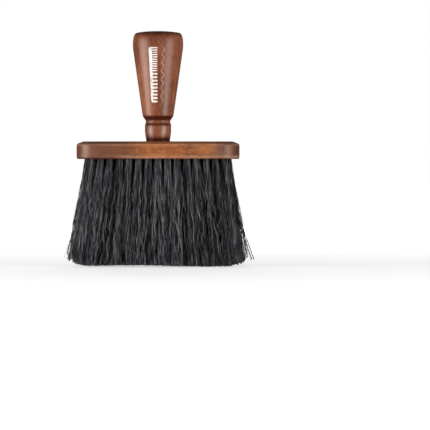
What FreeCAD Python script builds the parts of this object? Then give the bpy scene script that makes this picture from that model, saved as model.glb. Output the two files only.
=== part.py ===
"""Neck duster brush: a turned wooden handle on an oval wooden block that is filled with hair tufts.

The brush stands upright on its cut hair ends. The origin is on the standing surface under the middle of
the block, +Z points up the handle, X runs along the block and Y across it. All sizes are in millimetres.

How the real brush goes together, and how the pieces are named here:
  handle              turned in one piece, with a short spigot at its foot that drops into the block
  block               oval plate, drilled from below with one blind hole for each tuft
  handle_screw        countersunk wood screw, driven up through the block into the handle
  tuft_RING_NUMBER    one bundle of hair, folded in half round its anchor and spreading towards the tip;
                      a ring is numbered from the middle of the front, towards the right
  anchors             the flat wire staples that pin the tufts in their holes, one for each
"""

import FreeCAD, Part
import math
import os

from FreeCAD import Vector

# ---- driving dimensions -------------------------------------------------------------------------------

# heights of the three visible parts
HAIR_LENGTH = 66.6          # free hair, from the block down to the cut ends
BLOCK_THICKNESS = 10.9
HANDLE_HEIGHT = 68.3        # from the top of the block to the top of the dome

# block outline: an oval of four arcs, two long ones for the sides and two small ones for the ends
BLOCK_LENGTH = 101.0
BLOCK_DEPTH = 36.0
END_RADIUS = 13.0
BEVEL_WIDTH = 4.2           # of the flat bevel round the upper edge, measured on the top face
BEVEL_HEIGHT = 1.6
BEVEL_ROUNDING = 1.5        # where the bevel meets the sides and the top
BOTTOM_EDGE_RADIUS = 1.2

# tuft pattern: two rings that follow the block's outline, with the inner ring's tufts opposite the outer
# ring's gaps, and a few tufts between the ends of the inner ring and the ends of the outer one
HOLE_RADIUS = 2.2
HOLE_DEPTH = 5.8            # down to the start of the drill's point
DRILL_POINT = 1.2           # height of the drill's point
OUTER_INSET = 7.0           # from the block's outline to the outer ring
OUTER_TUFTS = 32
INNER_INSET = 12.0
INNER_TUFTS_PER_QUARTER = 5
MIDDLE_PITCH = 5.7          # from the outer ring's end tuft to each tuft further in
MIDDLE_TUFTS_PER_END = 2

# hair tufts: round where they leave the block, oval at the cut ends
TUFT_CLEARANCE = 0.08
TUFT_TIP_HALF_WIDTH = 3.35  # half the tip's size along X
TUFT_TIP_HALF_DEPTH = 3.9   # half the tip's size along Y
SPREAD_ALONG = 1.18         # how far the tips fan out, as a share of a tuft's place on the block
SPREAD_ACROSS = 1.5
FOLD_HEIGHT = 4.4           # straight part of the folded root, under its round top

# anchors: flat wire, a little longer than the hole is wide, so that both ends bite into the wood
ANCHOR_LENGTH = 5.2
ANCHOR_HEIGHT = 1.6
ANCHOR_THICKNESS = 0.4
ANCHOR_BASE = 3.2           # the wire's lower edge, above the underside of the block
ANCHOR_ANGLE = 35.0         # turned from the block's long axis, so that the wire doesn't lie along the grain
ANCHOR_CLEARANCE = 0.03

# handle spigot and the screw that holds it
SPIGOT_RADIUS = 5.0
SPIGOT_LENGTH = 2.0
SPIGOT_CLEARANCE = 0.08
SCREW_LENGTH = 32.0
SCREW_RADIUS = 2.0          # over the thread, and of the plain shank
SCREW_CORE_RADIUS = 1.4
SCREW_HEAD_RADIUS = 3.7
SCREW_HEAD_RIM = 0.4
SCREW_PITCH = 1.8
SCREW_POINT = 3.0
SCREW_CLEARANCE = 0.05
SCREW_SINK = 0.3            # how far the head lies above the underside of the block
SCREW_THREADS = 10
CROSS_SLOT_LENGTH = 4.2
CROSS_SLOT_WIDTH = 0.9
CROSS_SLOT_DEPTH = 1.4

# handle profile: (height above the block, radius)
FOOT_RADIUS = 7.35
BARREL_LOW = (4.1, 7.9)
BARREL_HIGH = (9.9, 8.15)   # a crisp edge, where the groove starts
GROOVE = (12.4, 7.55)
LIP = (15.3, 9.25)          # lower edge of the long taper
TAPER_START = (17.1, 9.75)
TAPER_END = (56.7, 15.4)
WIDEST = (61.4, 15.6)
SHOULDER = (64.8, 15.1)
CROWN_EDGE = (67.25, 13.2)  # where the rounded shoulder meets the shallow dome

# ---- worked-out places --------------------------------------------------------------------------------

BLOCK_BOTTOM = HAIR_LENGTH
BLOCK_TOP = BLOCK_BOTTOM + BLOCK_THICKNESS
UP = Vector(0, 0, 1)


def revolve(edges):
    """A closed solid from profile edges in the XZ plane, turned about the Z axis."""
    face = Part.Face(Part.Wire(edges))
    return face.revolve(Vector(), UP, 360)


def point(radius, height, base=0.0):
    return Vector(radius, 0, base + height)


def polyline(points):
    """Straight edges from each point to the next."""
    return [Part.LineSegment(a, b).toShape() for a, b in zip(points, points[1:])]


def arc(start, middle, end):
    return Part.Arc(start, middle, end).toShape()


def curve(points, start_slope=None, end_slope=None):
    """A smooth curve through the points, with the given directions at its ends."""
    spline = Part.BSplineCurve()
    if start_slope is None or end_slope is None:
        spline.interpolate(points)
    else:
        spline.interpolate(points, InitialTangent=start_slope, FinalTangent=end_slope)
    return spline.toShape()


# ---- the block ----------------------------------------------------------------------------------------

class Oval:
    """The block's outline, or a smaller one at an inset from it: four tangent arcs round the origin."""

    def __init__(self, inset=0.0):
        half_length = BLOCK_LENGTH / 2
        half_depth = BLOCK_DEPTH / 2
        self.end_centre = half_length - END_RADIUS
        # a side arc touches both end arcs from outside: its centre lies on the Y axis, beyond the far side
        side_radius = (self.end_centre**2 + half_depth**2 - END_RADIUS**2) / (2 * (half_depth - END_RADIUS))
        self.side_centre = side_radius - half_depth
        self.side_radius = side_radius - inset
        self.end_radius = END_RADIUS - inset
        self.side_turn = math.atan2(self.end_centre, self.side_centre)
        self.side_length = self.side_radius * self.side_turn
        self.quarter_length = self.side_length + self.end_radius * (math.pi / 2 - self.side_turn)

    def place(self, length):
        """(x, y) at this length along the front right quarter, from the middle of the front."""
        if length <= self.side_length:
            turn = length / self.side_radius
            return self.side_radius * math.sin(turn), self.side_centre - self.side_radius * math.cos(turn)
        turn = self.side_turn + (length - self.side_length) / self.end_radius
        return self.end_centre + self.end_radius * math.sin(turn), -self.end_radius * math.cos(turn)

    def wire(self, z):
        """The closed outline at height z."""
        touch_x, touch_y = self.place(self.side_length)
        middle_y = self.place(0)[1]
        end_x = self.place(self.quarter_length)[0]
        right_front = Vector(touch_x, touch_y, z)
        right_back = Vector(touch_x, -touch_y, z)
        left_front = Vector(-touch_x, touch_y, z)
        left_back = Vector(-touch_x, -touch_y, z)
        edges = [
            arc(left_front, Vector(0, middle_y, z), right_front),
            arc(right_front, Vector(end_x, 0, z), right_back),
            arc(right_back, Vector(0, -middle_y, z), left_back),
            arc(left_back, Vector(-end_x, 0, z), left_front),
        ]
        return Part.Wire(edges)


def round_edges_at(solid, z, radius):
    """Rounds every edge that lies wholly at height z."""
    flat = [e for e in solid.Edges if abs(e.BoundBox.ZMin - z) < 1e-6 and abs(e.BoundBox.ZMax - z) < 1e-6]
    return solid.makeFillet(radius, flat)


def round_the_ring(quarter):
    """Repeats the front right quarter's places all round, anticlockwise from the middle of the front.

    A place on an axis is in two quarters, and is kept once.
    """
    right_back = [(x, -y) for x, y in reversed(quarter)]
    left_back = [(-x, -y) for x, y in quarter]
    left_front = [(-x, y) for x, y in reversed(quarter)]
    places = []
    for x, y in quarter + right_back + left_back + left_front:
        if all(math.hypot(x - u, y - v) > HOLE_RADIUS for u, v in places):
            places.append((x, y))
    return places


def tuft_places():
    """The name of every tuft, with its place on the block."""
    outer = Oval(OUTER_INSET)
    inner = Oval(INNER_INSET)
    pitch = 4 * outer.quarter_length / OUTER_TUFTS
    outer_quarter = [outer.place(i * pitch) for i in range(OUTER_TUFTS // 4 + 1)]
    inner_quarter = [inner.place((i + 0.5) * pitch) for i in range(INNER_TUFTS_PER_QUARTER)]
    end_x = outer.place(outer.quarter_length)[0]
    middle_quarter = [(end_x - (i + 1) * MIDDLE_PITCH, 0.0) for i in range(MIDDLE_TUFTS_PER_END)]
    rings = {"outer": outer_quarter, "inner": inner_quarter, "middle": middle_quarter}
    places = {}
    for ring, quarter in rings.items():
        for number, place in enumerate(round_the_ring(quarter), start=1):
            places[f"tuft_{ring}_{number:02d}"] = place
    return places


def drilled_hole(x, y):
    """The space that the drill clears for one tuft, with the point's cone at its end."""
    top = BLOCK_BOTTOM + HOLE_DEPTH
    hole = revolve(
        polyline([
            point(0, BLOCK_BOTTOM - 1),
            point(HOLE_RADIUS, BLOCK_BOTTOM - 1),
            point(HOLE_RADIUS, top),
            point(0, top + DRILL_POINT),
            point(0, BLOCK_BOTTOM - 1),
        ])
    )
    hole.translate(Vector(x, y, 0))
    return hole


def anchor_bar(x, y, grow=0.0):
    """One anchor, or the slot it lies in when grow is above zero."""
    length = ANCHOR_LENGTH + 2 * grow
    thickness = ANCHOR_THICKNESS + 2 * grow
    height = ANCHOR_HEIGHT + 2 * grow
    bar = Part.makeBox(length, thickness, height, Vector(-length / 2, -thickness / 2, 0))
    bar.rotate(Vector(), UP, ANCHOR_ANGLE)
    bar.translate(Vector(x, y, BLOCK_BOTTOM + ANCHOR_BASE - grow))
    return bar


def make_block():
    shoulder = BLOCK_TOP - BEVEL_HEIGHT
    plate = Part.Face(Oval().wire(BLOCK_BOTTOM)).extrude(Vector(0, 0, BLOCK_THICKNESS - BEVEL_HEIGHT))
    bevel = Part.makeLoft([Oval().wire(shoulder), Oval(BEVEL_WIDTH).wire(BLOCK_TOP)], True, True)
    plate = plate.fuse(bevel)
    plate = round_edges_at(plate, shoulder, BEVEL_ROUNDING)
    plate = round_edges_at(plate, BLOCK_TOP, BEVEL_ROUNDING)
    plate = round_edges_at(plate, BLOCK_BOTTOM, BOTTOM_EDGE_RADIUS)

    recess_radius = SPIGOT_RADIUS + SPIGOT_CLEARANCE
    recess_depth = SPIGOT_LENGTH + SPIGOT_CLEARANCE
    recess = Part.makeCylinder(recess_radius, recess_depth + 1, point(0, -recess_depth, BLOCK_TOP))
    cuts = [recess, screw_body(SCREW_CLEARANCE, with_access=True)]
    for x, y in tuft_places().values():
        cuts.append(drilled_hole(x, y))
        cuts.append(anchor_bar(x, y, ANCHOR_CLEARANCE))
    return plate.cut(cuts)


# ---- the handle and its screw ---------------------------------------------------------------------------

def screw_body(grow=0.0, with_access=False):
    """The screw, turned about the Z axis with its thread as rings, or its clearance when grow is above zero.

    with_access also clears the way below the head, where the screw goes in.
    """
    foot = BLOCK_BOTTOM + SCREW_SINK
    head_top = foot + SCREW_HEAD_RIM + SCREW_HEAD_RADIUS - SCREW_RADIUS
    tip = foot + SCREW_LENGTH
    thread_end = tip - SCREW_POINT
    thread_start = thread_end - SCREW_THREADS * SCREW_PITCH
    bottom = BLOCK_BOTTOM - 1 if with_access else foot - grow
    points = [
        point(0, bottom),
        point(SCREW_HEAD_RADIUS + grow, bottom),
        point(SCREW_HEAD_RADIUS + grow, foot + SCREW_HEAD_RIM),
        point(SCREW_RADIUS + grow, head_top + grow),
        point(SCREW_RADIUS + grow, thread_start + grow),
    ]
    for turn in range(SCREW_THREADS):
        z = thread_start + turn * SCREW_PITCH
        points.append(point(SCREW_CORE_RADIUS + grow, z + 0.35 * SCREW_PITCH))
        points.append(point(SCREW_CORE_RADIUS + grow, z + 0.65 * SCREW_PITCH))
        points.append(point(SCREW_RADIUS + grow, z + SCREW_PITCH))
    points.append(point(0, tip + grow))
    points.append(points[0])
    return revolve(polyline(points))


def make_screw():
    slot_foot = BLOCK_BOTTOM + SCREW_SINK - 1
    screw = screw_body()
    for angle in (0, 90):
        slot = Part.makeBox(
            CROSS_SLOT_LENGTH,
            CROSS_SLOT_WIDTH,
            CROSS_SLOT_DEPTH + 1,
            Vector(-CROSS_SLOT_LENGTH / 2, -CROSS_SLOT_WIDTH / 2, slot_foot),
        )
        slot.rotate(Vector(), UP, angle)
        screw = screw.cut(slot)
    return screw


def make_handle():
    def at(place):
        height, radius = place
        return point(radius, height, BLOCK_TOP)

    foot = point(FOOT_RADIUS, 0, BLOCK_TOP)
    spigot = [
        point(0, -SPIGOT_LENGTH, BLOCK_TOP),
        point(SPIGOT_RADIUS, -SPIGOT_LENGTH, BLOCK_TOP),
        point(SPIGOT_RADIUS, 0, BLOCK_TOP),
        foot,
    ]
    taper = at(TAPER_END) - at(TAPER_START)
    crown_slope = Vector(-1, 0, 0.22)
    edges = polyline(spigot)
    edges.append(curve([foot, at(BARREL_LOW), at(BARREL_HIGH)], Vector(0, 0, 1), Vector(0.01, 0, 1)))
    edges.append(curve([at(BARREL_HIGH), at(GROOVE), at(LIP)], Vector(-0.2, 0, 1), Vector(0.6, 0, 1)))
    edges.append(curve([at(LIP), at(TAPER_START)], Vector(0.6, 0, 1), taper))
    edges.append(Part.LineSegment(at(TAPER_START), at(TAPER_END)).toShape())
    edges.append(curve([at(TAPER_END), at(WIDEST), at(SHOULDER), at(CROWN_EDGE)], taper, crown_slope))
    crown = point(0, HANDLE_HEIGHT, BLOCK_TOP)
    edges.append(curve([at(CROWN_EDGE), crown], crown_slope, Vector(-1, 0, 0)))
    edges.append(Part.LineSegment(crown, spigot[0]).toShape())
    return revolve(edges).cut(screw_body(SCREW_CLEARANCE))


# ---- tufts and anchors ----------------------------------------------------------------------------------

def make_tuft(x, y):
    """Folded root in the hole, and the free hair, which leans outwards and widens down to the cut end."""
    radius = HOLE_RADIUS - TUFT_CLEARANCE
    root = Part.makeCylinder(radius, FOLD_HEIGHT, Vector(x, y, BLOCK_BOTTOM))
    fold = Part.makeSphere(radius, Vector(x, y, BLOCK_BOTTOM + FOLD_HEIGHT), UP, 0, 90, 360)
    flatten = FreeCAD.Matrix()
    flatten.scale(1, 1, 0.55)
    fold.translate(Vector(0, 0, -(BLOCK_BOTTOM + FOLD_HEIGHT)))
    fold = fold.transformGeometry(flatten)
    fold.translate(Vector(0, 0, BLOCK_BOTTOM + FOLD_HEIGHT))

    top = Part.Wire(Part.Circle(Vector(x, y, BLOCK_BOTTOM), UP, radius).toShape())
    tip_centre = Vector(x * SPREAD_ALONG, y * SPREAD_ACROSS, 0)
    tip = Part.Ellipse(
        tip_centre + Vector(0, TUFT_TIP_HALF_DEPTH, 0),
        tip_centre + Vector(-TUFT_TIP_HALF_WIDTH, 0, 0),
        tip_centre,
    )
    free_hair = Part.makeLoft([top, Part.Wire(tip.toShape())], True, True)
    tuft = root.fuse([fold, free_hair]).removeSplitter()
    return tuft.cut(anchor_bar(x, y, ANCHOR_CLEARANCE))


def make_anchors():
    """Every tuft's anchor, as separate solids in one shape."""
    return Part.makeCompound([anchor_bar(x, y) for x, y in tuft_places().values()])


# ---- writing the parts ------------------------------------------------------------------------------------

def build():
    parts = {
        "block": make_block(),
        "handle": make_handle(),
        "handle_screw": make_screw(),
        "anchors": make_anchors(),
    }
    for name, (x, y) in tuft_places().items():
        parts[name] = make_tuft(x, y)
    return parts


def main():
    os.makedirs("parts", exist_ok=True)
    for old in os.listdir("parts"):
        if old.endswith(".step"):
            os.remove(os.path.join("parts", old))
    for name, shape in build().items():
        solids = shape.Solids
        sound = all(s.isValid() and s.isClosed() and s.Volume > 0 for s in solids)
        if not sound or not solids:
            raise RuntimeError(f"{name} is not made of sound closed solids")
        box = shape.BoundBox
        if not name.startswith("tuft") or name.endswith("01"):
            print(f"{name}: {len(solids)} solid(s), {shape.Volume:.1f} mm3, {box}")
        shape.exportStep(os.path.join("parts", f"{name}.step"))


main()
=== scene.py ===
"""Looks of the neck duster brush: stained and lacquered wood, a printed mark, steel fasteners, and tufts
of separate folded hairs.

All lengths are in metres. The frame gives every place: the origin is on the floor under the middle of the
brush, +Z points up the handle, X runs along the block, and the front of the brush looks towards -Y.
"""

import math

import bmesh
import bpy
import numpy as np
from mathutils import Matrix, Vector
from mathutils.bvhtree import BVHTree


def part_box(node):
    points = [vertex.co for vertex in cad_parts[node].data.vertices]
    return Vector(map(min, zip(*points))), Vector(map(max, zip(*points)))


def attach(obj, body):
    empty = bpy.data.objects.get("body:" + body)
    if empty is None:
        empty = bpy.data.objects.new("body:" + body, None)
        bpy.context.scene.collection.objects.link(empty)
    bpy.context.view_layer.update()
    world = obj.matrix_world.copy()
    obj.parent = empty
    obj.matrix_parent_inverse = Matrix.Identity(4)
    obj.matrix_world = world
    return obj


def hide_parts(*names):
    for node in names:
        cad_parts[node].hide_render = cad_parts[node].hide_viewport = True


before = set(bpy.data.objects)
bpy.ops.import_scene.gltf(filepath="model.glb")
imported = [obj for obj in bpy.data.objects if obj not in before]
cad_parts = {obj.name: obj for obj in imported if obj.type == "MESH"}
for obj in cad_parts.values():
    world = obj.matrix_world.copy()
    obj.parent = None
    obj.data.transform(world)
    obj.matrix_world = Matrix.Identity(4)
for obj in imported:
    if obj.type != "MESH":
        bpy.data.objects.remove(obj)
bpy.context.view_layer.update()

MM = 0.001

# ---- camera, floor and light ---------------------------------------------------------------------------

CAMERA_TARGET = Vector((0.0353, 0.0, 0.0319))
CAMERA_DISTANCE = 2.4
CAMERA_ELEVATION = math.radians(0.8)
FRAME_WIDTH = 0.2666            # width of the view at the target
SENSOR_WIDTH = 36.0             # millimetres

FLOOR_RADIUS = 8.0
FLOOR_SIDES = 96
WHITE = (1.0, 1.0, 1.0, 1.0)
FLOOR_COLOUR = (0.85, 0.85, 0.85, 1.0)
FLOOR_GLOW = (0.55, 1.0)        # near the brush, where the lamps reach, and far off
FLOOR_GLOW_REACH = (0.1, 1.2)
ROOM_BELOW = (0.12, 0.12, 0.12, 1.0)
ROOM_ABOVE = (0.10, 0.10, 0.10, 1.0)
ROOM_BLEND = (-0.40, 0.0)       # the first turns into the second between these upward parts of a direction

# azimuth in degrees (0 is the camera's side and 90 the right), height, distance, width, tall, watts, and
# whether the brush mirrors it
SOFTBOXES = {
    "key_left": (-68, -0.05, 1.2, 0.8, 1.0, 20, True),
    "fill_right": (54, -0.05, 1.2, 0.7, 1.0, 15, True),
    "front": (-8, 0.75, 1.5, 0.9, 0.5, 5, False),
    "back": (180, 0.55, 1.5, 0.9, 0.6, 10, False),
}
SOFTBOX_AIM = Vector((0, 0, 0.07))

# ---- wood ----------------------------------------------------------------------------------------------

# light, middle and dark tone of the stain
HANDLE_TONES = ((0.29, 0.094, 0.041), (0.192, 0.057, 0.025), (0.100, 0.028, 0.012))
BLOCK_TONES = ((0.44, 0.160, 0.049), (0.31, 0.102, 0.034), (0.155, 0.049, 0.021))
HANDLE_FIGURE = (12.6, 1.9, 0.0)             # picks the piece of timber that the grain comes from
BLOCK_FIGURE = (0.0, 0.0, 0.0)
BLOCK_END = (0.105, 0.042, 0.026)
STAIN_AND_SHADE = (0.050, 0.009, 0.004)   # dark stain where it has collected in a groove; the same colour also paints shade into the handle's creases and top, and onto the block's round ends and lower edge
# painted shade and stain above and below the groove, under the lip and in the crease over the barrel: height
# from it, half the band's height, and strength
GROOVE_SHADE_AND_STAIN = ((2.1 * MM, 2.5 * MM, 1.5), (-1.95 * MM, 1.8 * MM, 0.9))
FOOT_SHADE_AND_STAIN = (4.0 * MM, 1.5)    # painted contact shade and stain at the foot: half its height, and its strength
CROWN_SHADE_AND_STAIN = (4.5 * MM, 1.2 * MM, 0.65)     # painted shade on the domed top, where little light falls, with some stain: begins and is full this far below the top; its strength
SHADE_AND_STAIN_MOST = 0.97
SHADE_AND_STAIN_DULLS = (0.2, SHADE_AND_STAIN_MOST) # the lacquer loses its shine as the painted shade and stain grow from one to the other
EDGE_HIGHLIGHT_TONE = (0.55, 0.32, 0.20)       # pale wood tone for the painted highlights along the block's edges
HANDLE_SHINE = 0.45
SHADE_AND_STAIN_SHINE = 0.08
BARREL_SHINE = 0.40             # more than the handle's, where the fingers polish it
BARREL_POLISH = (6.0 * MM, 4.5 * MM)         # that band's middle above the foot, and half its height
BLOCK_SHINE = 0.35
LACQUER_TINT = (1.0, 0.80, 0.68, 1.0)
COAT = 0.12                     # weight of the clear coat
BLOCK_LIGHTEST = 13 * MM        # the plate is lightest here, to the right of the handle
BLOCK_FADE = (12 * MM, 36 * MM) # and it turns brown between these distances from there
BLOCK_WANDER = 9 * MM           # give or take
BLOCK_TIPS = (45.5 * MM, 49.5 * MM)          # its two round ends darken from the first to the second: painted shade where they turn from the lamps
BLOCK_LEFT = (-12 * MM, -34 * MM)            # and here its lower edge gets painted shade rather than the painted highlight
# painted highlights on the plate's rounded edges: height from its lower or upper edge, half the band's
# height, and strength
LOWER_HIGHLIGHT = (1.3 * MM, 1.6 * MM, 0.45)
UPPER_HIGHLIGHT = (-2.0 * MM, 1.2 * MM, 0.30)

GROOVE_SEARCH = (8 * MM, 20 * MM)            # the handle's groove is between these heights above its foot
SPIGOT_RADIUS = 5.5 * MM        # anything nearer the axis is the spigot, or the hole for the screw

# ---- printed mark on the handle: a barber's comb and a strand of hair ----------------------------------

PRINT_FOOT = 24 * MM            # from the top of the block to the lower end of the comb
COMB_LENGTH = 34 * MM
COMB_LEFT = -4.9 * MM           # round the handle, from the middle of its front
COMB_BACK_WIDTH = 1.6 * MM
COMB_TOOTH_LENGTH = 3.2 * MM
COMB_COARSE = (1.10 * MM, 0.90 * MM, 9)      # tooth width, gap and number of teeth
COMB_FINE = (0.70 * MM, 0.62 * MM, 11)
STRAND_AT = 3.0 * MM
STRAND_LENGTH = 34 * MM
STRAND_WIDTH = 0.50 * MM
STRAND_SWING = 0.75 * MM
STRAND_WAVELENGTH = 5.2 * MM
STRAND_STEPS = 90
PRINT_PROUD = 0.04 * MM
PRINT_SUNK = 0.02 * MM
PRINT_WRAP = 0.85               # the mark keeps its width at this share of the handle's widest radius
PRINT_CUTS_ACROSS = np.arange(-6, 6, 0.4) * MM          # it bends at these cuts, to follow the handle
PRINT_CUTS_UP = np.arange(2, 36, 2) * MM
COMB_INK = ((0.50, 0.34, 0.26), (0.80, 0.72, 0.67), (0.88, 0.84, 0.81))
STRAND_INK = ((0.28, 0.14, 0.09), (0.38, 0.22, 0.16), (0.50, 0.34, 0.26))

# ---- hair ----------------------------------------------------------------------------------------------

HAIRS_PER_TUFT = 180            # each is folded over the anchor, so twice as many ends hang free
LOCKS_PER_TUFT = 60
HAIR_RADIUS = 0.09 * MM
FREE_RINGS = {"outer": 32, "inner": 14, "middle": 14}      # along one free end; the inner tufts are hidden
FOLD_RINGS = 4
SIDES = 3
SEED = 505
ANCHOR_ANGLE = math.radians(35)
RING_TOLERANCE = 0.01 * MM      # for finding a CAD tuft's edges at a given height
CLEAR_ANGLE = 0.05              # radians either side of the anchor's line, without hair
CLEAR_MIDDLE = 0.02             # share of a tuft's area, in its middle, without hair
LOCK_SHAKE = 0.08               # how far locks are moved from an even pattern, in tuft radii
FOLD_RISE = (0.12 * MM, 0.28)   # a fold's height over the anchor, and how fast that grows outwards

TIP_OVERLAP = (1.4, 1.15)       # how far tips reach past a tuft's own outline, at the middle and at the ends
OPENING = (1.1, 1.0)            # above 1, a tuft opens slowest under the block; at the middle and the ends
GATHER = (0.78, 0.96)           # how closely a lock's hairs come together
GATHER_RATE = 6                 # they do so over the first sixth of their length
TIP_LOOSENING = 0.15            # and part again by this share at the tips
LOCK_LEAN = 2.0 * MM            # typical sideways drift of a lock over its length, and of a hair in its lock
HAIR_LEAN = 0.18 * MM
LOOSE_SHARE = 0.07              # locks that lean much further
LOOSE_LEAN = 5.0 * MM
LOCK_WAVES = ((0.20 * MM, 0.75 * MM), (11 * MM, 28 * MM))   # sizes and wavelengths
HAIR_WAVES = ((0.02 * MM, 0.12 * MM), (7 * MM, 18 * MM))
WAVE_RATE = 2.2                 # waves start at the root and have their full size before half the length
STRAY_SHARE = 0.13
STRAY_LEAN = 3.4 * MM
STRAY_WAVES = ((0.3 * MM, 0.9 * MM), (10 * MM, 24 * MM))
SHORT_SHARE = 0.08              # hairs that end well above the cut
SHORT_TIPS = (4 * MM, 42 * MM)

CORNER_START = 38 * MM          # tufts further out than this are calmer and flare at their tips
CORNER_REACH = 6 * MM
CORNER_CALM = 0.70
FLARE = 1.68 * MM               # at most, for a lock's outermost hair
# how far each loose lock of a tuft leans out
FLYAWAYS = {"tuft_outer_09": (3.8 * MM, 2.7 * MM), "tuft_outer_08": (1.6 * MM,), "tuft_outer_25": (0.6 * MM,)}
FLYAWAY_HAIRS = 14              # in each of these loose locks
FLYAWAY_SHADE = 0.10
FLYAWAY_SPREAD = 0.70           # of its hairs' own lean and waves, against those of other locks
FLYAWAY_TIP = 4.2 * MM          # height of its cut end
FLYAWAY_UNEVEN = 0.05           # of its hairs' cut ends, against those of other locks
SPIKE_LEAN = 3.0 * MM           # how far the short hairs on the outer sides stick out

HAIR_UNEVEN = 0.22 * MM         # typical unevenness of single cut ends, and most for a lock
LOCK_UNEVEN = 0.60 * MM
CUT_WAVE = 0.4 * MM             # the trimmed ends rise and fall by this much along the brush
CUT_SPAN = 15 * MM
CUT_PHASE = 2.5
CORNER_CUT = (45 * MM, 52.5 * MM)            # the cut rises beyond the first, and more beyond the second
CORNER_SLOPE = ((0.09, 0.50), (0.05, 1.2))
NOTCH_DEPTH = 0.50 * MM         # the scissors' steps at the corners
NOTCH_SPANS = (0.5 * MM, 0.85 * MM)
FURTHEST = 2.1                  # no hair or lock leans further than this many times its typical lean

# undyed hairs at the front of these tufts, and their share in all the others
PALE_HAIRS = {"tuft_outer_01": 5, "tuft_outer_03": 6, "tuft_outer_29": 3, "tuft_outer_30": 5}
PALE_STEP = 4                   # every fourth hair, from the front of the tuft
PALE_SHARE = 0.0015
PALE_SHADE = 1.25
PALE_MIDDLE = (8 * MM, 48 * MM)              # height where a pale hair shows best
PALE_REACH = 30 * MM
ROOT_SHADE = 0.59               # hairs look alike where they are packed together at the root, and lighter there: painted light on the tufts just under the block
ROOT_SPREAD = 0.30
SPREAD_REACH = 0.30             # share of the free length over which their shades come apart
TIP_BLEND = 0.35                # and this much closer together again at the cut
TIP_REACH = 22 * MM
HAIR_SPREAD = 0.12              # of single hairs' shades within a lock
LIGHTEST_DYED = 0.78
# mean and spread of the locks' shades in each ring of tufts; 0 is black and 1 undyed. The inner and middle
# rings are darker: painted shade for the shadow deep in the brush
SHADES = {"outer": (0.508, 0.285), "inner": (0.16, 0.12), "middle": (0.26, 0.16)}


def new_material(name):
    """A node material with only its Principled shader and its output."""
    material = bpy.data.materials.new(name)
    material.use_nodes = True
    return material, material.node_tree, material.node_tree.nodes["Principled BSDF"]


def add_node(tree, kind, **inputs):
    """Adds a node and sets its inputs by name, with _ for a space."""
    node = tree.nodes.new(kind)
    for name, value in inputs.items():
        node.inputs[name.replace("_", " ")].default_value = value
    return node


def stretched_coordinates(tree, stretch, shift=(0, 0, 0)):
    """Object coordinates times stretch, so that a pattern runs long where stretch is small, then shifted."""
    coordinates = tree.nodes.new("ShaderNodeTexCoord")
    mapping = add_node(tree, "ShaderNodeMapping", Scale=stretch, Location=shift)
    tree.links.new(coordinates.outputs["Object"], mapping.inputs["Vector"])
    return mapping.outputs["Vector"]


def noise(tree, vector, detail=4.0, distortion=0.0):
    """Cloudy noise, about 0.5 on average, with features of unit size in the given coordinates."""
    node = add_node(
        tree, "ShaderNodeTexNoise", Scale=1.0, Detail=detail, Roughness=0.6, Distortion=distortion
    )
    tree.links.new(vector, node.inputs["Vector"])
    return node.outputs["Fac"]


def ramp(tree, factor, stops):
    """A colour ramp through stops, a list of (position, (r, g, b))."""
    node = tree.nodes.new("ShaderNodeValToRGB")
    elements = node.color_ramp.elements
    while len(elements) < len(stops):
        elements.new(0.5)
    for element, (position, colour) in zip(elements, stops):
        element.position = position
        element.color = (*colour, 1.0)
    tree.links.new(factor, node.inputs["Fac"])
    return node.outputs["Color"]


def mix(tree, factor, first, second, blend="MIX"):
    """Mixes two colours. A factor or colour is a socket or a plain value."""
    node = tree.nodes.new("ShaderNodeMix")
    node.data_type = "RGBA"
    node.blend_type = blend
    for value, index in ((factor, 0), (first, 6), (second, 7)):
        if isinstance(value, bpy.types.NodeSocket):
            tree.links.new(value, node.inputs[index])
        else:
            node.inputs[index].default_value = value
    return node.outputs[2]


def maths(tree, operation, first, second=None):
    """One arithmetic step. Each value is a socket or a plain number."""
    node = tree.nodes.new("ShaderNodeMath")
    node.operation = operation
    for value, index in ((first, 0), (second, 1)):
        if isinstance(value, bpy.types.NodeSocket):
            tree.links.new(value, node.inputs[index])
        elif value is not None:
            node.inputs[index].default_value = value
    return node.outputs[0]


def remap(tree, value, low, high, to_low=0.0, to_high=1.0):
    """value from low..high, smoothly to to_low..to_high."""
    node = add_node(
        tree, "ShaderNodeMapRange", From_Min=low, From_Max=high, To_Min=to_low, To_Max=to_high
    )
    node.interpolation_type = "SMOOTHSTEP"
    tree.links.new(value, node.inputs["Value"])
    return node.outputs["Result"]


def plus(tree, first, second):
    """The sum of two values."""
    return maths(tree, "ADD", first, second)


def times(tree, first, second):
    """The product of two values."""
    return maths(tree, "MULTIPLY", first, second)


def object_axis(tree, axis):
    """The object coordinate along one axis: 0 for X, 1 for Y, 2 for Z."""
    split = tree.nodes.new("ShaderNodeSeparateXYZ")
    tree.links.new(tree.nodes.new("ShaderNodeTexCoord").outputs["Object"], split.inputs[0])
    return split.outputs[axis]


def band(tree, value, centre, half_width, strength=1.0):
    """A soft band: strength at centre, and nothing beyond half_width from it."""
    distance = maths(tree, "ABSOLUTE", maths(tree, "SUBTRACT", value, centre))
    return remap(tree, distance, 0.0, half_width, strength, 0.0)


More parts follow.
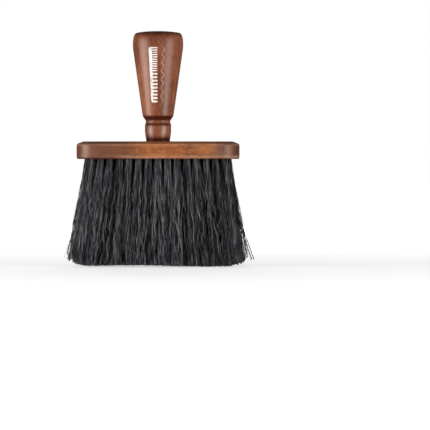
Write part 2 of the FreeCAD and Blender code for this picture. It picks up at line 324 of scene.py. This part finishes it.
def wood_grain(tree, grain_axis, tones, figure_shift):
    """The stained wood's colour, and its streaks and pores for the roughness and relief."""

    def along_grain(along, across):
        scale = [across] * 3
        scale[grain_axis] = along
        return stretched_coordinates(tree, scale, figure_shift)

    light, middle, dark = tones
    streaks = noise(tree, along_grain(16, 380), detail=5.0, distortion=0.3)
    bands = noise(tree, along_grain(7, 80), detail=3.0, distortion=1.0)
    mottling = noise(tree, along_grain(60, 85), detail=3.0)
    pores = noise(tree, along_grain(240, 2600), detail=2.0)
    flecks = noise(tree, along_grain(420, 1300), detail=2.0)

    figure = plus(tree, times(tree, streaks, 0.34), times(tree, bands, 0.30))
    figure = plus(tree, figure, times(tree, mottling, 0.36))
    colour = ramp(tree, figure, [(0.39, dark), (0.50, middle), (0.60, light)])
    pore_mask = remap(tree, pores, 0.60, 0.72, 0.0, 0.35)
    colour = mix(tree, pore_mask, colour, (*[0.45 * c for c in dark], 1.0))
    colour = mix(tree, remap(tree, flecks, 0.52, 0.68, 0.0, 0.40), colour, (*dark, 1.0))
    colour = mix(tree, remap(tree, flecks, 0.48, 0.32, 0.0, 0.35), colour, (*[1.3 * c for c in light], 1.0))
    return colour, streaks, pores


def lacquer(tree, shader, colour, streaks, pores, shine):
    """Satin lacquer over the wood's colour, with the grain just felt through it."""
    tree.links.new(colour, shader.inputs["Base Color"])
    tree.links.new(remap(tree, streaks, 0.3, 0.7, 0.34, 0.46), shader.inputs["Roughness"])
    shader.inputs["Specular IOR Level"].default_value = shine
    shader.inputs["Specular Tint"].default_value = LACQUER_TINT
    shader.inputs["Coat Weight"].default_value = COAT
    shader.inputs["Coat Roughness"].default_value = 0.30
    bump = add_node(tree, "ShaderNodeBump", Strength=0.25, Distance=0.05 * MM)
    relief = maths(tree, "SUBTRACT", streaks, times(tree, pores, 0.8))
    tree.links.new(relief, bump.inputs["Height"])
    tree.links.new(bump.outputs["Normal"], shader.inputs["Normal"])


def handle_material(foot, groove):
    """Turned beech, stained red-brown. foot and groove are heights where stain has collected and where shade
    is painted into the creases; the domed top gets painted shade too.
    """
    material, tree, shader = new_material("handle_wood")
    colour, streaks, pores = wood_grain(tree, 2, HANDLE_TONES, HANDLE_FIGURE)
    height = object_axis(tree, 2)
    # painted shade and stain in the creases at the foot, under the lip and over the barrel
    stain_and_shade = band(tree, height, foot, *FOOT_SHADE_AND_STAIN)
    for up, half_width, strength in GROOVE_SHADE_AND_STAIN:
        stain_and_shade = plus(tree, stain_and_shade, band(tree, height, groove + up, half_width, strength))
    blotches = noise(tree, stretched_coordinates(tree, (160, 160, 160)), detail=3.0)
    stain_and_shade = times(tree, stain_and_shade, remap(tree, blotches, 0.25, 0.6, 0.75, 1.0))
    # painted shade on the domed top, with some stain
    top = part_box("handle")[1].z
    begins, full, strength = CROWN_SHADE_AND_STAIN
    stain_and_shade = plus(tree, stain_and_shade, remap(tree, height, top - begins, top - full, 0.0, strength))
    stain_and_shade = maths(tree, "MINIMUM", stain_and_shade, SHADE_AND_STAIN_MOST)
    colour = mix(tree, stain_and_shade, colour, (*STAIN_AND_SHADE, 1.0))
    lacquer(tree, shader, colour, streaks, pores, HANDLE_SHINE)
    shine = remap(tree, stain_and_shade, *SHADE_AND_STAIN_DULLS, HANDLE_SHINE, SHADE_AND_STAIN_SHINE)
    up, half_width = BARREL_POLISH
    shine = plus(tree, shine, band(tree, height, foot + up, half_width, BARREL_SHINE))
    tree.links.new(shine, shader.inputs["Specular IOR Level"])
    tree.links.new(remap(tree, stain_and_shade, *SHADE_AND_STAIN_DULLS, COAT, 0.0), shader.inputs["Coat Weight"])
    return material


def block_material():
    """The oval plate: orange-brown in the middle, browner at the ends, with painted highlights along its
    edges and painted shade at its round ends and under its lower edge.
    """
    material, tree, shader = new_material("block_wood")
    colour, streaks, pores = wood_grain(tree, 0, BLOCK_TONES, BLOCK_FIGURE)
    low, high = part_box("block")
    across = object_axis(tree, 0)
    height = object_axis(tree, 2)
    wander = noise(tree, stretched_coordinates(tree, (45, 45, 90)), detail=3.0)
    along = plus(tree, across, remap(tree, wander, 0.3, 0.7, -BLOCK_WANDER, BLOCK_WANDER))
    from_lightest = maths(tree, "ABSOLUTE", maths(tree, "SUBTRACT", along, BLOCK_LIGHTEST))
    ends = remap(tree, from_lightest, *BLOCK_FADE, 0.0, 0.8)
    colour = mix(tree, ends, colour, (*BLOCK_END, 1.0))
    # painted shade on the round ends, where they turn from the lamps
    tips = remap(tree, maths(tree, "ABSOLUTE", across), *BLOCK_TIPS, 0.0, 0.5)
    colour = mix(tree, tips, colour, (*STAIN_AND_SHADE, 1.0))

    patches = noise(tree, stretched_coordinates(tree, (220, 220, 500)), detail=4.0)
    left = remap(tree, across, *BLOCK_LEFT)
    # painted highlights along the lower and upper rounded edges, broken up in patches
    up, half_width, strength = LOWER_HIGHLIGHT
    painted_low_highlight = band(tree, height, low.z + up, half_width, strength)
    painted_low_highlight = times(tree, painted_low_highlight, remap(tree, left, 0.0, 1.0, 1.0, 0.1))
    up, half_width, strength = UPPER_HIGHLIGHT
    painted_highlights = plus(tree, painted_low_highlight, band(tree, height, high.z + up, half_width, strength))
    painted_highlights = times(tree, painted_highlights, remap(tree, patches, 0.30, 0.62, 0.35, 1.0))
    colour = mix(tree, painted_highlights, colour, (*EDGE_HIGHLIGHT_TONE, 1.0))
    # painted shade along the lower edge, reaching higher on the left
    painted_shade_edges = plus(
        tree,
        remap(tree, height, low.z + 0.6 * MM, low.z, 0.0, 0.8),
        times(tree, left, remap(tree, height, low.z + 2.0 * MM, low.z + 0.5 * MM, 0.0, 0.6)),
    )
    colour = mix(tree, maths(tree, "MINIMUM", painted_shade_edges, 0.9), colour, (*STAIN_AND_SHADE, 1.0))
    lacquer(tree, shader, colour, streaks, pores, BLOCK_SHINE)
    return material


def ink_material(name, tones):
    """Pale printing ink in three tones, the first where it is thin enough for the wood to tint it."""
    material, tree, shader = new_material(name)
    wear = noise(tree, stretched_coordinates(tree, (900, 900, 900)), detail=3.0)
    colour = ramp(tree, wear, list(zip((0.34, 0.46, 0.60), tones)))
    tree.links.new(colour, shader.inputs["Base Color"])
    shader.inputs["Roughness"].default_value = 0.5
    shader.inputs["Specular IOR Level"].default_value = 0.3
    return material


def steel_material(name, colour, roughness):
    """Drawn steel wire or a turned screw, with fine scratches."""
    material, tree, shader = new_material(name)
    scratches = noise(tree, stretched_coordinates(tree, (3000, 3000, 700)), detail=3.0)
    shader.inputs["Base Color"].default_value = (*colour, 1.0)
    shader.inputs["Metallic"].default_value = 1.0
    roughness = remap(tree, scratches, 0.3, 0.7, roughness - 0.08, roughness + 0.12)
    tree.links.new(roughness, shader.inputs["Roughness"])
    bump = add_node(tree, "ShaderNodeBump", Strength=0.2, Distance=0.02 * MM)
    tree.links.new(scratches, bump.inputs["Height"])
    tree.links.new(bump.outputs["Normal"], shader.inputs["Normal"])
    return material


def hair_material():
    """Black dyed hair. Each hair's own shade comes from the mesh, and it drifts along the hair."""
    material, tree, shader = new_material("black_hair")
    shade = tree.nodes.new("ShaderNodeAttribute")
    shade.attribute_name = "shade"
    drift = noise(tree, stretched_coordinates(tree, (650, 650, 75)), detail=2.0)
    value = plus(tree, shade.outputs["Fac"], remap(tree, drift, 0.3, 0.7, -0.20, 0.20))
    colour = ramp(
        tree,
        value,
        [
            (0.00, (0.0015, 0.0015, 0.002)),
            (0.32, (0.0065, 0.006, 0.008)),
            (0.52, (0.042, 0.040, 0.046)),
            (0.68, (0.134, 0.128, 0.142)),
            (0.84, (0.250, 0.238, 0.254)),
            (0.95, (0.340, 0.322, 0.330)),
            (1.00, (0.42, 0.38, 0.32)),
        ],
    )
    tree.links.new(colour, shader.inputs["Base Color"])
    shader.inputs["Roughness"].default_value = 0.34
    shader.inputs["Specular IOR Level"].default_value = 0.25
    return material


def paint(node, material):
    """Gives a CAD node this material in place of its plain one."""
    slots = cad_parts[node].material_slots
    if not slots:
        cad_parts[node].data.materials.append(material)
        return
    for slot in slots:
        slot.material = material


# ---- printed mark --------------------------------------------------------------------------------------

def comb_outline():
    """The comb's outline as (across, up) points: a back with round corners, and two sets of teeth."""
    tooth_root = COMB_LEFT + COMB_BACK_WIDTH
    tooth_tip = tooth_root + COMB_TOOTH_LENGTH
    teeth = []
    up = 0.0
    for width, gap, number in (COMB_COARSE, COMB_FINE):
        for _ in range(number):
            teeth.append((up, up + width))
            up += width + gap
    scale = COMB_LENGTH / teeth[-1][1]
    corner = COMB_BACK_WIDTH / 2
    outline = []
    for low, high in teeth:
        low, high = low * scale, high * scale
        middle = (low + high) / 2
        round_tip = (high - low) / 3
        outline += [
            (tooth_root, low),
            (tooth_tip - round_tip, low),
            (tooth_tip, middle - round_tip / 2),
            (tooth_tip, middle + round_tip / 2),
            (tooth_tip - round_tip, high),
            (tooth_root, high),
        ]
    for middle, start in ((COMB_LENGTH - corner, 90), (corner, 180)):
        for step in range(7):
            angle = math.radians(start + 15 * step)
            outline.append((COMB_LEFT + corner + corner * math.cos(angle), middle + corner * math.sin(angle)))
    return outline


def strand_outline():
    """The outline of one wavy line of even width, as (across, up) points."""
    ups = np.linspace(0, STRAND_LENGTH, STRAND_STEPS)
    turn = 2 * math.pi * ups / STRAND_WAVELENGTH
    middle = np.stack([STRAND_AT + STRAND_SWING * np.sin(turn), ups + COMB_LENGTH - STRAND_LENGTH], 1)
    slope = np.gradient(middle, axis=0)
    slope /= np.linalg.norm(slope, axis=1, keepdims=True)
    normal = np.stack([slope[:, 1], -slope[:, 0]], 1) * STRAND_WIDTH / 2
    return list(map(tuple, middle + normal)) + list(map(tuple, (middle - normal)[::-1]))


def make_print(name, outline, material):
    """One outline as a thin closed skin of ink, wrapped on the front of the handle."""
    shape = bmesh.new()
    shape.faces.new([shape.verts.new((across, up, 0.0)) for across, up in outline])
    for across in PRINT_CUTS_ACROSS:
        everything = shape.verts[:] + shape.edges[:] + shape.faces[:]
        bmesh.ops.bisect_plane(shape, geom=everything, plane_co=(across, 0, 0), plane_no=(1, 0, 0))
    for up in PRINT_CUTS_UP:
        everything = shape.verts[:] + shape.edges[:] + shape.faces[:]
        bmesh.ops.bisect_plane(shape, geom=everything, plane_co=(0, up, 0), plane_no=(0, 1, 0))
    raised = bmesh.ops.extrude_face_region(shape, geom=shape.faces[:], use_keep_orig=True)
    upper = {vert for vert in raised["geom"] if isinstance(vert, bmesh.types.BMVert)}

    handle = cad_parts["handle"].data
    surface = BVHTree.FromPolygons([v.co for v in handle.vertices], [p.vertices for p in handle.polygons])
    wrap_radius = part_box("handle")[1].x * PRINT_WRAP
    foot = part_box("block")[1].z + PRINT_FOOT
    for vert in shape.verts:
        turn = vert.co.x / wrap_radius
        outwards = Vector((math.sin(turn), -math.cos(turn), 0))
        start = outwards * 2 * wrap_radius + Vector((0, 0, foot + vert.co.y))
        hit = surface.ray_cast(start, -outwards)[0]
        vert.co = hit + outwards * (PRINT_PROUD if vert in upper else -PRINT_SUNK)
    bmesh.ops.recalc_face_normals(shape, faces=shape.faces[:])
    mesh = bpy.data.meshes.new(name)
    shape.to_mesh(mesh)
    shape.free()
    mesh.materials.append(material)
    piece = bpy.data.objects.new(name, mesh)
    bpy.context.scene.collection.objects.link(piece)
    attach(piece, "root")


def groove_height():
    """Height of the handle's narrowest place above its barrel, read from the CAD mesh."""
    low, high = GROOVE_SEARCH
    points = np.array([v.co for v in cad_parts["handle"].data.vertices])
    reach = np.hypot(points[:, 0], points[:, 1])
    height = points[:, 2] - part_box("block")[1].z
    outer = (reach > SPIGOT_RADIUS) & (height > low) & (height < high)
    return float(points[outer][np.argmin(reach[outer]), 2])


# ---- hair tufts ----------------------------------------------------------------------------------------

def ring_of(node, height):
    """Centre and half sizes, along X and Y, of a CAD tuft's outline at a height where it has an edge."""
    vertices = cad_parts[node].data.vertices
    points = np.array([v.co for v in vertices if abs(v.co.z - height) < RING_TOLERANCE])
    low, high = points.min(0), points.max(0)
    return (low[:2] + high[:2]) / 2, (high[:2] - low[:2]) / 2


def disc_points(rng, count):
    """count random points spread over the half of a unit disc with the second coordinate above zero."""
    angle = rng.uniform(CLEAR_ANGLE, math.pi - CLEAR_ANGLE, count)
    reach = np.sqrt(rng.uniform(CLEAR_MIDDLE, 1.0, count))
    return np.stack([reach * np.cos(angle), reach * np.sin(angle)], 1)


def lock_centres(rng, count):
    """Points spread evenly over a unit disc, turned and shaken."""
    number = np.arange(count) + 0.5
    reach = np.sqrt(number / count)
    angle = number * math.pi * (3 - math.sqrt(5)) + rng.uniform(0, 2 * math.pi)
    points = np.stack([reach * np.cos(angle), reach * np.sin(angle)], 1)
    return points + rng.normal(0, LOCK_SHAKE, points.shape)


def waves(rng, count, progress, amplitude, wavelength):
    """Gentle sideways waves for count hairs or locks along the free length: (count, rings, 2)."""
    phase = rng.uniform(0, 2 * math.pi, (count, 1, 2))
    turns = FREE_LENGTH / rng.uniform(*wavelength, (count, 1, 2))
    size = rng.uniform(*amplitude, (count, 1, 2))
    grow = np.clip(progress * WAVE_RATE, 0, 1)[None, :, None]
    path = progress[None, :, None] * turns * 2 * math.pi + phase
    return size * grow * (np.sin(path) - np.sin(phase))


def hair_locks(rng, disc, end, flyaways):
    """Each hair's lock, and the locks' middles. A flyaway lock takes the outermost hairs."""
    centres = lock_centres(rng, LOCKS_PER_TUFT)
    lock = np.argmin(((disc[:, None] - centres[None]) ** 2).sum(2), 1)
    rim = np.argsort(-end * disc[:, 0])
    for number in range(len(flyaways)):
        hairs = rim[number * FLYAWAY_HAIRS : (number + 1) * FLYAWAY_HAIRS]
        lock[hairs] = len(centres)
        centres = np.vstack([centres, disc[hairs].mean(0)])
    return lock, centres


def gathered(rng, disc, lock, centres, flyaway, at):
    """Each hair's place in its tuft's unit disc along its length, as it comes together with its lock."""
    gather = rng.uniform(*GATHER, len(centres))[lock][:, None, None]
    gather = np.where(flyaway, 1, gather * (1 - TIP_LOOSENING * at)) * np.clip(at * GATHER_RATE, 0, 1)
    return disc[:, None, :] + (centres[lock] - disc)[:, None, :] * gather


def clipped_normal(rng, count):
    """Normal random pairs of values for count hairs or locks, none beyond FURTHEST."""
    return np.clip(rng.normal(0, 1, (count, 1, 2)), -FURTHEST, FURTHEST)


def free_ends(rng, disc, root, tip, rings, flyaways):
    """Centre points of free hair, from the block's face down to the cut, and each hair's lock."""
    (root_centre, root_half), (tip_centre, tip_half) = root, tip
    count = len(disc)
    progress = np.linspace(0, 1, rings)
    at = progress[None, :, None]
    end = 1 if root_centre[0] > 0 else -1
    corner = np.clip((abs(root_centre[0]) - CORNER_START) / CORNER_REACH, 0, 1)
    calm = 1 - CORNER_CALM * corner
    outwards = 0.5 + 0.5 * end * disc[:, 0]

    lock, centres = hair_locks(rng, disc, end, flyaways)
    locks = len(centres)
    flyaway = (lock >= LOCKS_PER_TUFT)[:, None, None]
    own = gathered(rng, disc, lock, centres, flyaway, at)
    opening = at ** (OPENING[0] + (OPENING[1] - OPENING[0]) * corner)
    overlap = TIP_OVERLAP[0] + (TIP_OVERLAP[1] - TIP_OVERLAP[0]) * corner
    half = (root_half - HAIR_RADIUS) * (1 - opening) + tip_half * overlap * opening
    sideways = root_centre + (tip_centre - root_centre) * at + own * half

    loose_share = LOOSE_SHARE if corner == 0 else 0
    lean = np.where(rng.random(locks) < loose_share, LOOSE_LEAN, LOCK_LEAN)[:, None, None]
    lock_path = clipped_normal(rng, locks) * lean * at + waves(rng, locks, progress, *LOCK_WAVES)
    sideways = sideways + lock_path[lock] * calm
    own_path = rng.normal(0, HAIR_LEAN, (count, 1, 2)) * at + waves(rng, count, progress, *HAIR_WAVES)
    sideways = sideways + own_path * np.where(flyaway, FLYAWAY_SPREAD, 1)
    stray = (rng.random(count) < STRAY_SHARE)[:, None, None] & ~flyaway
    stray_path = clipped_normal(rng, count) * STRAY_LEAN * at + waves(rng, count, progress, *STRAY_WAVES)
    sideways = sideways + stray * stray_path * calm

    if corner > 0:
        flare = FLARE * corner * rng.uniform(0, 1, locks)[lock] * outwards
        loose = np.concatenate([np.zeros(LOCKS_PER_TUFT), flyaways])[lock]
        sideways[:, :, 0] += end * (flare[:, None] * progress**3 + loose[:, None] * progress**4)

    tip_z = tip_height(rng, sideways[:, -1, 0], lock)
    flyaway_tip_z = FLYAWAY_TIP + (tip_z - FLYAWAY_TIP) * FLYAWAY_UNEVEN
    tip_z = np.where(flyaway[:, 0, 0], flyaway_tip_z, tip_z)
    height = BLOCK_BOTTOM + (tip_z[:, None] - BLOCK_BOTTOM) * progress[None, :]
    paths = np.concatenate([sideways, height[:, :, None]], 2)
    share = 1 - rng.uniform(*SHORT_TIPS, count) / FREE_LENGTH
    short = rng.random(count) < SHORT_SHARE * (1 + corner)
    paths = shorten(paths, np.where(short, share, 1.0))
    spike = SPIKE_LEAN * corner * rng.uniform(0, 1, count) * short * outwards
    paths[:, :, 0] += end * spike[:, None] * progress**4
    return paths, lock


def shorten(paths, share):
    """Each path cut off at its share of the length, with as many rings as before."""
    rings = paths.shape[1]
    place = np.linspace(0, rings - 1, rings)[None, :] * share[:, None]
    before = np.minimum(place.astype(int), rings - 2)
    part = (place - before)[:, :, None]
    row = np.arange(len(paths))[:, None]
    return paths[row, before] * (1 - part) + paths[row, before + 1] * part


def tip_height(rng, x, lock):
    """Height of each cut end: nearly level, a little uneven, and higher at the two outer corners."""
    locks = lock.max() + 1
    height = np.abs(rng.normal(0, HAIR_UNEVEN, len(x))) + rng.uniform(0, LOCK_UNEVEN, locks)[lock]
    height = height + CUT_WAVE * (1 + np.sin(x / CUT_SPAN + CUT_PHASE))
    notches = NOTCH_DEPTH * (1 + np.sin(x / NOTCH_SPANS[0]) * np.sin(x / NOTCH_SPANS[1]))
    height = height + notches * np.clip((np.abs(x) - CORNER_CUT[0]) / CORNER_REACH, 0, 1)
    for start, slope in zip(CORNER_CUT, CORNER_SLOPE):
        height = height + np.clip(np.abs(x) - start, 0, None) * rng.uniform(*slope, locks)[lock]
    return HAIR_RADIUS + height


def folds(disc, root_centre, side):
    """Points of each hair's root on one side of the anchor, from the fold's top down to the block's face."""
    inside = disc * (ROOT_RADIUS - HAIR_RADIUS)
    rings = []
    for angle in np.linspace(math.pi / 2, 0, FOLD_RINGS):
        flat = inside[:, :1] * ANCHOR_ALONG + side * inside[:, 1:] * ANCHOR_ACROSS * math.cos(angle)
        top = ANCHOR_TOP + (FOLD_RISE[0] + FOLD_RISE[1] * inside[:, 1]) * math.sin(angle)
        rings.append(np.column_stack([root_centre + flat, top]))
    return np.stack(rings, 1)


def tube_mesh(name, paths, shades):
    """One mesh of thin tubes along paths, (hairs, rings, 3), with shades, (hairs, rings), on their points."""
    hairs, rings, _ = paths.shape
    tangent = np.gradient(paths, axis=1)
    tangent /= np.linalg.norm(tangent, axis=2, keepdims=True)
    side = np.zeros_like(paths)
    current = np.tile([1.0, 0.0, 0.0], (hairs, 1))
    for i in range(rings):
        current = current - (current * tangent[:, i]).sum(1, keepdims=True) * tangent[:, i]
        current /= np.linalg.norm(current, axis=1, keepdims=True)
        side[:, i] = current
    other = np.cross(tangent, side)
    angle = np.arange(SIDES) * 2 * math.pi / SIDES
    offset = side[:, :, None] * np.cos(angle)[:, None] + other[:, :, None] * np.sin(angle)[:, None]
    points = (paths[:, :, None] + HAIR_RADIUS * offset).reshape(-1, 3)

    first = (np.arange(hairs) * rings * SIDES)[:, None, None]
    ring = (np.arange(rings - 1) * SIDES)[None, :, None]
    corner = np.arange(SIDES)[None, None, :]
    after = (corner + 1) % SIDES
    lower, lower_after = first + ring + corner, first + ring + after
    quads = np.stack([lower, lower_after, lower_after + SIDES, lower + SIDES], 3).reshape(-1, 4)
    start = first[:, 0] + np.arange(SIDES)[::-1]
    finish = first[:, 0] + (rings - 1) * SIDES + np.arange(SIDES)
    caps = np.concatenate([start, finish])

    mesh = bpy.data.meshes.new(name)
    mesh.vertices.add(len(points))
    mesh.vertices.foreach_set("co", points.astype(np.float32).ravel())
    loops = np.concatenate([quads.ravel(), caps.ravel()]).astype(np.int32)
    sizes = np.concatenate([np.full(len(quads), 4), np.full(len(caps), SIDES)])
    starts = np.concatenate([[0], np.cumsum(sizes)[:-1]]).astype(np.int32)
    mesh.loops.add(len(loops))
    mesh.loops.foreach_set("vertex_index", loops)
    mesh.polygons.add(len(sizes))
    mesh.polygons.foreach_set("loop_start", starts)
    smooth = np.concatenate([np.full(len(quads), True), np.full(len(caps), False)])
    mesh.polygons.foreach_set("use_smooth", smooth)
    attribute = mesh.attributes.new("shade", "FLOAT", "POINT")
    attribute.data.foreach_set("value", np.repeat(shades.ravel(), SIDES).astype(np.float32))
    mesh.update(calc_edges=True)
    mesh.validate()
    return mesh


def hair_shades(rng, node, lock, disc, height):
    """The shade of each hair at each ring: alike within a lock and near its ends, with a few pale hairs,
    painted light at the roots and painted shade in the inner rings.
    """
    mean, spread = SHADES[node.split("_")[1]]
    shades = rng.normal(mean, spread, lock.max() + 1)[lock] + rng.normal(0, HAIR_SPREAD, len(lock))
    shades = np.clip(shades, 0, LIGHTEST_DYED)
    shades[rng.random(len(lock)) < PALE_SHARE] = PALE_SHADE
    front = np.argsort(disc[:, 1])
    shades[front[: PALE_STEP * PALE_HAIRS.get(node, 0) : PALE_STEP]] = PALE_SHADE
    shades[lock >= LOCKS_PER_TUFT] = FLYAWAY_SHADE
    middle = rng.uniform(*PALE_MIDDLE, (len(lock), 1))
    fading = np.clip(np.abs(height - middle) / PALE_REACH, 0, 1) * (shades == PALE_SHADE)[:, None]
    shades = shades[:, None] + (mean - shades[:, None]) * fading
    near_tip = np.clip(1 - height / TIP_REACH, 0, 1)
    shades = shades + (mean - shades) * TIP_BLEND * near_tip
    apart = np.clip((BLOCK_BOTTOM - height) / (SPREAD_REACH * FREE_LENGTH), 0, 1)
    # painted light at the roots, kept darker in the inner rings
    at_root = (mean / SHADES["outer"][0]) * ROOT_SHADE + (shades - mean) * ROOT_SPREAD
    return at_root + (shades - at_root) * apart


def make_tuft(node, rng, material):
    """One tuft as separate hairs, each folded over the anchor with both ends hanging free."""
    root = ring_of(node, BLOCK_BOTTOM)
    tip = ring_of(node, 0.0)
    half_disc = disc_points(rng, HAIRS_PER_TUFT)
    disc = np.concatenate([
        half_disc[:, :1] * ANCHOR_ALONG + side * half_disc[:, 1:] * ANCHOR_ACROSS
        for side in (1, -1)
    ])
    ends, lock = free_ends(rng, disc, root, tip, FREE_RINGS[node.split("_")[1]], FLYAWAYS.get(node, ()))
    first_end, second_end = ends[:HAIRS_PER_TUFT], ends[HAIRS_PER_TUFT:]
    first_fold = folds(half_disc, root[0], 1)
    second_fold = folds(half_disc, root[0], -1)
    paths = np.concatenate(
        [first_end[:, ::-1], first_fold[:, ::-1], second_fold[:, 1:], second_end],
        1,
    )
    shades = hair_shades(rng, node, lock[HAIRS_PER_TUFT:], disc[HAIRS_PER_TUFT:], paths[:, :, 2])
    piece = bpy.data.objects.new(node.replace("tuft", "hair"), tube_mesh(node, paths, shades))
    piece.data.materials.append(material)
    bpy.context.scene.collection.objects.link(piece)
    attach(piece, "root")
    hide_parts(node)


# ---- studio --------------------------------------------------------------------------------------------

def make_camera():
    """Looks at the brush from the front, a little to its right and from just above the floor."""
    data = bpy.data.cameras.new("camera")
    data.sensor_width = SENSOR_WIDTH
    data.lens = SENSOR_WIDTH * CAMERA_DISTANCE / FRAME_WIDTH
    data.clip_end = 100
    camera = bpy.data.objects.new("camera", data)
    back = Vector((0, -math.cos(CAMERA_ELEVATION), math.sin(CAMERA_ELEVATION)))
    camera.location = CAMERA_TARGET + back * CAMERA_DISTANCE
    camera.rotation_euler = (-back).to_track_quat("-Z", "Y").to_euler()
    bpy.context.scene.collection.objects.link(camera)
    bpy.context.scene.camera = camera


def make_softbox(name, azimuth, height, distance, width, tall, watts, mirrored):
    """An area light that faces the brush."""
    data = bpy.data.lights.new(name, "AREA")
    data.shape = "RECTANGLE"
    data.size = width
    data.size_y = tall
    data.energy = watts
    light = bpy.data.objects.new(name, data)
    turn = math.radians(azimuth)
    light.location = (distance * math.sin(turn), -distance * math.cos(turn), height)
    towards = SOFTBOX_AIM - light.location
    light.rotation_euler = towards.to_track_quat("-Z", "Y").to_euler()
    light.visible_glossy = mirrored
    bpy.context.scene.collection.objects.link(light)


def as_seen(tree, seen, unseen):
    """One shader for what the camera sees, and another for the light that reaches the brush."""
    switch = tree.nodes.new("ShaderNodeMixShader")
    path = tree.nodes.new("ShaderNodeLightPath")
    tree.links.new(path.outputs["Is Camera Ray"], switch.inputs[0])
    tree.links.new(unseen, switch.inputs[1])
    tree.links.new(seen, switch.inputs[2])
    return switch.outputs[0]


def make_floor():
    """A pale floor, shaded by the brush close by and as white as the backdrop far off.

    Only the camera sees it, so that it doesn't hide the lower half of the lamps from the brush.
    """
    mesh = bpy.data.meshes.new("floor")
    turns = [2 * math.pi * side / FLOOR_SIDES for side in range(FLOOR_SIDES)]
    rim = [(FLOOR_RADIUS * math.cos(turn), FLOOR_RADIUS * math.sin(turn), 0) for turn in turns]
    mesh.from_pydata(rim, [], [tuple(range(FLOOR_SIDES))])
    floor = bpy.data.objects.new("floor", mesh)
    material, tree, shader = new_material("pale_floor")
    shader.inputs["Base Color"].default_value = FLOOR_COLOUR
    shader.inputs["Roughness"].default_value = 0.9
    shader.inputs["Specular IOR Level"].default_value = 0.1
    shader.inputs["Emission Color"].default_value = WHITE
    distance = tree.nodes.new("ShaderNodeVectorMath")
    distance.operation = "LENGTH"
    tree.links.new(tree.nodes.new("ShaderNodeTexCoord").outputs["Object"], distance.inputs[0])
    glow = remap(tree, distance.outputs["Value"], *FLOOR_GLOW_REACH, *FLOOR_GLOW)
    tree.links.new(glow, shader.inputs["Emission Strength"])
    mesh.materials.append(material)
    floor.visible_diffuse = False
    floor.visible_glossy = False
    floor.visible_shadow = False
    bpy.context.scene.collection.objects.link(floor)


def make_world():
    """A white backdrop for the camera, and a dim room for the brush's reflections."""
    world = bpy.data.worlds.new("studio")
    world.use_nodes = True
    bpy.context.scene.world = world
    tree = world.node_tree
    coordinates = tree.nodes.new("ShaderNodeTexCoord")
    split = tree.nodes.new("ShaderNodeSeparateXYZ")
    tree.links.new(coordinates.outputs["Generated"], split.inputs[0])
    colour = mix(tree, remap(tree, split.outputs[2], *ROOM_BLEND), ROOM_BELOW, ROOM_ABOVE)
    room = tree.nodes["Background"]
    tree.links.new(colour, room.inputs["Color"])
    backdrop = add_node(tree, "ShaderNodeBackground", Color=WHITE)
    surface = as_seen(tree, backdrop.outputs[0], room.outputs[0])
    tree.links.new(surface, tree.nodes["World Output"].inputs["Surface"])


make_camera()
make_floor()
make_world()
for name, values in SOFTBOXES.items():
    make_softbox(name, *values)
bpy.context.scene.view_settings.view_transform = "Standard"

BLOCK_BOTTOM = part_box("block")[0].z
FREE_LENGTH = BLOCK_BOTTOM      # the brush stands on its cut ends
ANCHOR_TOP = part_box("anchors")[1].z
ANCHOR_ALONG = np.array([math.cos(ANCHOR_ANGLE), math.sin(ANCHOR_ANGLE)])
ANCHOR_ACROSS = np.array([-math.sin(ANCHOR_ANGLE), math.cos(ANCHOR_ANGLE)])
ROOT_RADIUS = float(ring_of("tuft_outer_01", BLOCK_BOTTOM)[1][0])

paint("handle", handle_material(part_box("block")[1].z, groove_height()))
paint("block", block_material())
paint("handle_screw", steel_material("screw_steel", (0.62, 0.60, 0.56), 0.32))
paint("anchors", steel_material("anchor_wire", (0.58, 0.56, 0.53), 0.38))
make_print("print_comb", comb_outline(), ink_material("comb_ink", COMB_INK))
make_print("print_strand", strand_outline(), ink_material("strand_ink", STRAND_INK))

hair = hair_material()
tufts = sorted(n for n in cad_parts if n.startswith("tuft_"))
for number, node in enumerate(tufts):
    make_tuft(node, np.random.default_rng(SEED + number), hair)
